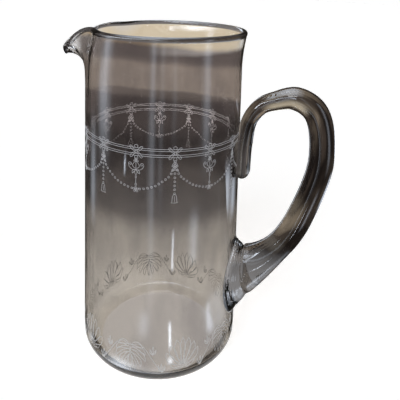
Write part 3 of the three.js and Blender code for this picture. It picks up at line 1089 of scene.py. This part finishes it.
def glass(t, f, stain, depth, ripple):
    """Finishes a material as glass with painted shading, darker where it is thick, with faint ripples and
    smudges.
    """
    smudged = t.ranged(t.noise(SMUDGES), *SMUDGE_EDGE, 0.0, SMUDGE_ROUGHNESS)
    waves = t.noise(STRIAE)
    bump = t.put("ShaderNodeBump", {"Strength": ripple, "Distance": RIPPLE_HEIGHT, "Height": waves})
    clear = t.put("ShaderNodeBsdfPrincipled", {
        "Base Color": stain, "Transmission Weight": 1.0, "IOR": GLASS_IOR, "Roughness": smudged,
        "Normal": bump})
    shadow = t.put("ShaderNodeBsdfTransparent", {"Color": paint(f.shadow_tint)})
    thick = t.put("ShaderNodeVolumeAbsorption", {"Color": paint(f.depth_tint), "Density": depth})
    surface = t.chosen(t.rays("Is Shadow Ray"), clear, shadow)
    t.put("ShaderNodeOutputMaterial", {"Surface": surface, "Volume": thick})
    return t.owner


def body_glass(scene):
    """Glass of the body: painted shade and light on its outside, paler at rim, beak and foot, and a clear
    inside.
    """
    f = scene.jug_finishes
    t = Shading(bpy.data.materials.new("stained_body_glass"))
    x, y, _ = t.split(t.place())
    level = height_share(t, scene.jug_body.height)
    leaning = t.sum("ADD", level, t.sum("MULTIPLY", y, f.rim_lean))
    lip = t.ranged(level, *LIP_EDGE)
    for along, edge in ((x, LIP_ALONG_X), (y, LIP_ALONG_Y)):
        lip = t.sum("MULTIPLY", lip, t.ranged(along, *edge))
    drawn, _, _ = t.split(t.mark("drawn"))
    outside, bead, base = t.split(t.mark("skin"))
    # Painted shade and light for what the clear glass shows: height tints, paler band, rim, lip, beak and
    # base, dark bead
    stain = t.ramp(level, [(place, painted_outside(getattr(f, name))) for place, name in PAINTED_SHADING_LEVELS])
    stain = t.mixed(t.ramp(leaning, greys(PALE_BAND)), stain, painted_outside(f.band_tint))
    stain = t.mixed(t.ranged(t.noise(DRAPES), *DRAPE_EDGE), stain, paint(f.drape_tint), "MULTIPLY")
    stain = t.mixed(t.ranged(leaning, *RIM_EDGE), stain, painted_outside(f.rim_tint))
    stain = t.mixed(lip, stain, painted_outside(f.lip_tint))
    stain = t.mixed(t.ranged(drawn, *BEAK_EDGE), stain, painted_outside(f.beak_tint))
    stain = t.mixed(bead, stain, painted_outside(f.bead_tint))
    stain = t.mixed(base, stain, painted_outside(f.base_tint))
    return glass(t, f, t.mixed(outside, WHITE, stain), BODY_DEPTH, BODY_RIPPLE)


def handle_glass(scene):
    """Glass of the handle: painted shade and painted light in dark and pale streaks, paler at its inner
    side, root and seals.
    """
    f = scene.jug_finishes
    t = Shading(bpy.data.materials.new("smoky_handle_glass"))
    rod = t.mark("rod")
    outward, _, along = t.split(rod)
    seal, _, _ = t.split(t.mark("seal"))
    # Painted light on the rod's inner side, and painted shade and light in streaks along it
    inner = t.sum("MULTIPLY", t.ramp(along, greys(INNER_LIGHT_STRETCHES)), t.ranged(outward, *INNER_EDGE))
    shades = zip(ROD_STREAK_EDGE, (paint(f.rod_painted_shade), paint(f.rod_painted_light)))
    stain = t.mixed(inner, t.ramp(t.noise(ROD_STREAKS, rod), list(shades)), paint(f.rod_inner_painted_light))
    risen = t.ranged(height_share(t, scene.jug_body.height), *ROOT_EDGE)
    # Painted shade at the root, and painted light where the handle is pressed on
    stain = t.mixed(risen, paint(f.root_painted_shade), stain)
    stain = t.mixed(seal, stain, paint(f.seal_painted_light))
    return glass(t, f, stain, HANDLE_DEPTH, HANDLE_RIPPLE)


def frosted(f, name, front, back, front_glow, back_glow):
    """Etched glass, pale and matt with a fine grain; its back is the side that is seen through the wall."""
    if name in bpy.data.materials:
        return bpy.data.materials[name]
    t = Shading(bpy.data.materials.new(name))
    level = t.vector("MULTIPLY", {0: t.place(), 1: (1, 1, 0)})
    away = t.vector("NORMALIZE", {0: level})
    facing = t.vector("DOT_PRODUCT", {0: away, 1: t.place("Normal")}, "Value")
    # Painted light and shade: each line's front and back get their own colour and glow by the way they face
    outside = t.ranged(facing, *FRONT_EDGE)
    colour = t.mixed(outside, paint(back), paint(front))
    grain = t.ramp(t.noise(FROST_GRAIN), list(zip(GRAIN_EDGE, (grey(GRAIN_SHADE), WHITE))))
    matt = t.put("ShaderNodeBsdfPrincipled", {
        "Base Color": t.mixed(1.0, colour, grain, "MULTIPLY"), "Roughness": FROST_ROUGHNESS,
        "Emission Color": paint(f.glow_tint),
        "Emission Strength": t.ranged(outside, 0, 1, back_glow, front_glow)})
    t.put("ShaderNodeOutputMaterial", {"Surface": matt})
    return t.owner


# Stage

RING_SIDES = 360
GROUND_STEPS = 45
RING_STEPS = 45
PANEL_STEPS = 24
CAMERA_NEAR = 10 * MM
# Rise of a look from the horizon, as a sine, where the world's white ends and where its ceiling starts
DOME_EDGE = (0.12, 0.5)
# Light patches round the glass: direction and half width in degrees, lower and upper end in millimetres, up
# the ring or, below nought, in along the ground, the softness of these ends in millimetres, and brightness
LIGHT_PATCHES = (
    (-158, 9, 110, 330, 50, 0.36), (-88, 4, 20, 330, 60, 0.24), (-86, 4, -90, 20, 40, 0.09),
    (-76, 3, 60, 190, 40, 0.10), (-61, 3, 130, 330, 40, 0.09), (-59.3, 1.2, -22, 30, 6, 1.3),
    (-62.8, 1.5, -142, -110, 5, 1.6), (-63.5, 2.5, -160, -154, 3, 1.5), (-17, 6, 105, 330, 35, 0.27),
    (46.5, 6, 96, 128, 12, 1.0), (-122, 0.9, 89, 104, 4, 1.8), (-92, 6, -128, -98, 12, 0.30),
    (-108, 13, -178, -164, 4, 0.8), (178, 7, 20, 110, 30, 0.16), (110, 7, 20, 330, 40, 0.30),
    (24, 9, 25, 75, 15, 0.45), (45, 8, 15, 60, 15, 0.2), (-80, 5, 212, 262, 8, 0.8),
    (-32, 6, -15, 45, 15, 0.35), (-78, 16, -178, -167, 4, 0.3), (-2, 14, -150, -95, 12, 0.15),
    (-15, 5, -142, -104, 8, 0.45), (-128, 30, 250, 300, 10, 1.8))


def stand_camera(scene, s):
    """The camera, turned, tilted and rolled as the stage says."""
    data = bpy.data.cameras.new("camera")
    data.lens = s.lens
    data.sensor_width = s.sensor
    data.clip_start = CAMERA_NEAR
    eye = placed("camera", data)
    level = math.cos(s.camera_pitch)
    forward = Vector((
        -math.sin(s.camera_yaw) * level, math.cos(s.camera_yaw) * level, -math.sin(s.camera_pitch)))
    right = Vector((math.cos(s.camera_yaw), math.sin(s.camera_yaw), 0))
    down = forward.cross(right)
    tilt_right = right * math.cos(s.camera_roll) + down * math.sin(s.camera_roll)
    tilt_down = down * math.cos(s.camera_roll) - right * math.sin(s.camera_roll)
    turn = Matrix((tilt_right, -tilt_down, -forward)).transposed()
    eye.matrix_world = Matrix.Translation(s.camera_place) @ turn.to_4x4()
    scene.camera = eye


def light_world(scene, s):
    """Soft light from all around; the camera sees it white, and the glass as a dark ceiling over white."""
    world = bpy.data.worlds.new("studio")
    t = Shading(world)
    _, _, up = t.split(t.place("Generated"))
    dome = t.ramp(up, list(zip(DOME_EDGE, (WHITE, paint(s.ceiling)))))
    seen = t.mixed(t.rays("Is Camera Ray"), dome, WHITE)
    soft = t.put("ShaderNodeBackground", {"Color": WHITE, "Strength": s.soft})
    shown = t.put("ShaderNodeBackground", {"Color": seen, "Strength": 1.0})
    rays = t.rays("Is Camera Ray", "Is Glossy Ray", "Is Transmission Ray")
    t.put("ShaderNodeOutputWorld", {"Surface": t.chosen(rays, soft, shown)})
    scene.world = world


def reflected(name, grid, closed, colours, power):
    """A stage piece that glows in its points' colours and is seen only by way of the glass."""
    t = Shading(bpy.data.materials.new(name))
    glow = t.put("ShaderNodeEmission", {"Color": t.mark("shine", "Color"), "Strength": power})
    t.put("ShaderNodeOutputMaterial", {"Surface": glow})
    mesh = bpy.data.meshes.new(name)
    mesh.from_pydata(grid.reshape(-1, 3).tolist(), [], grid_faces(*grid.shape[:2], closed))
    shine = np.concatenate([colours.reshape(-1, 3), np.ones((len(mesh.vertices), 1))], 1)
    mesh.attributes.new("shine", "FLOAT_COLOR", "POINT").data.foreach_set("color", shine.ravel())
    mesh.materials.append(t.owner)
    piece = placed(name, mesh)
    piece.visible_camera = False
    piece.visible_diffuse = False
    piece.visible_shadow = False
    return piece


def set_surround(s):
    """A low dark ring on a dark ground, with soft patches of light, seen only in reflections."""
    turn = np.linspace(-math.pi, math.pi, RING_SIDES, endpoint=False)
    ground = np.linspace(s.ring_inside - s.ring_radius, 0, GROUND_STEPS, endpoint=False)
    level = np.concatenate([ground, np.linspace(0, s.ring_height, RING_STEPS)])[:, None]
    radius = s.ring_radius + np.minimum(0, level)
    height = np.maximum(s.ring_lift, level)
    grid = np.stack(np.broadcast_arrays(radius * np.cos(turn), radius * np.sin(turn), height), -1)
    shine = np.zeros(grid.shape[:2])
    for place, half, low, high, soft, power in LIGHT_PATCHES:
        aside = (np.degrees(turn) - place + 180) % 360 - 180
        lower = smoothstep(level / MM, low - soft, low + soft)
        upper = smoothstep(level / MM, high - soft, high + soft)
        shine += power * (lower - upper) * np.exp(-(aside / half) ** 2)
    colours = np.array(s.ring_dark) + shine[..., None] * np.array(s.ring_light)
    piece = reflected("surround", grid, True, colours, s.ring_power)
    piece.visible_transmission = False


def hang_panel(s):
    """A light panel overhead, brightest in its middle, that the glass reflects and lets through."""
    across = np.linspace(-1, 1, PANEL_STEPS)
    u, v = np.meshgrid(across, across)
    width, depth = s.panel_size
    grid = np.stack([u * width / 2, v * depth / 2, 0 * u], -1) + np.array(s.panel_place)
    shine = (1 - u ** 2) * (1 - v ** 2)
    reflected("panel", grid, False, shine[..., None] * np.array(s.ring_light), s.panel_power)


def lay_floor(s):
    """A paper floor that keeps the jug's shadow, and that the glass shows as plain white."""
    half = s.floor_size / 2
    corners = [(-half, -half), (half, -half), (half, half), (-half, half)]
    mesh = bpy.data.meshes.new("floor")
    mesh.from_pydata([(x, y, -s.floor_drop) for x, y in corners], [], [(0, 1, 2, 3)])
    t = Shading(bpy.data.materials.new("paper_floor"))
    shade = t.ranged(t.noise(PAPER_GRAIN), 0, 1, s.paper - s.paper_grain, s.paper + s.paper_grain)
    paper = t.put("ShaderNodeBsdfDiffuse", {"Color": shade})
    lift = t.ranged(t.rays("Is Camera Ray"), 0, 1, 0, s.floor_glow)
    lit = t.put("ShaderNodeAddShader", {0: paper, 1: t.put("ShaderNodeEmission", {"Strength": lift})})
    white = t.put("ShaderNodeEmission", {"Strength": s.floor_white})
    surface = t.chosen(t.rays("Is Glossy Ray", "Is Transmission Ray"), lit, white)
    t.put("ShaderNodeOutputMaterial", {"Surface": surface})
    mesh.materials.append(t.owner)
    floor = placed("floor", mesh)


def hang_key(s):
    """A wide soft key light from the front."""
    data = bpy.data.lights.new("key", "SUN")
    data.energy = s.sun
    data.angle = s.sun_width
    light = placed("key", data)
    light.matrix_world = (-Vector(s.sun_from)).to_track_quat("-Z", "Y").to_matrix().to_4x4()
    light.visible_transmission = False


class JUG_OT_set_stage(bpy.types.Operator):
    """Set the stage: camera, white world, pale floor, soft light and what the glass reflects"""
    bl_idname = "jug.set_stage"
    bl_label = "Set the Stage"

    def execute(self, context):
        scene, s = context.scene, context.scene.jug_stage
        scene.view_settings.view_transform = "Standard"
        stand_camera(scene, s)
        light_world(scene, s)
        lay_floor(s)
        set_surround(s)
        hang_panel(s)
        hang_key(s)
        return {"FINISHED"}


# Add-on

OPERATORS = (
    JUG_OT_set_stage, JUG_OT_blow_body, JUG_OT_draw_handle, JUG_OT_etch_rail, JUG_OT_etch_bows,
    JUG_OT_etch_pendants, JUG_OT_etch_swags, JUG_OT_etch_tassels, JUG_OT_etch_palmettes)


class JUG_PT_panel(bpy.types.Panel):
    """The jug's steps, in the order in which they are run"""
    bl_label = "Glass Water Jug"
    bl_idname = "JUG_PT_panel"
    bl_space_type = "VIEW_3D"
    bl_region_type = "UI"
    bl_category = "Jug"

    def draw(self, context):
        for operator in OPERATORS:
            self.layout.operator(operator.bl_idname)


GROUPS = {
    "jug_body": JugBodySizes, "jug_handle": JugHandleSizes, "jug_etching": JugEtchingSizes,
    "jug_finishes": JugFinishes, "jug_stage": JugStageSettings}


def register():
    """Registers the classes and puts the settings on the scene."""
    for cls in (*GROUPS.values(), *OPERATORS, JUG_PT_panel):
        bpy.utils.register_class(cls)
    for name, cls in GROUPS.items():
        setattr(bpy.types.Scene, name, bpy.props.PointerProperty(type=cls))


def unregister():
    """Takes the settings and the classes away again."""
    for name in GROUPS:
        delattr(bpy.types.Scene, name)
    for cls in (JUG_PT_panel, *reversed(OPERATORS), *reversed(GROUPS.values())):
        bpy.utils.unregister_class(cls)


def main():
    """Builds the jug and its stage."""
    register()
    for operator in OPERATORS:
        group, step = operator.bl_idname.split(".")
        getattr(getattr(bpy.ops, group), step)()


if __name__ == "__main__":
    main()
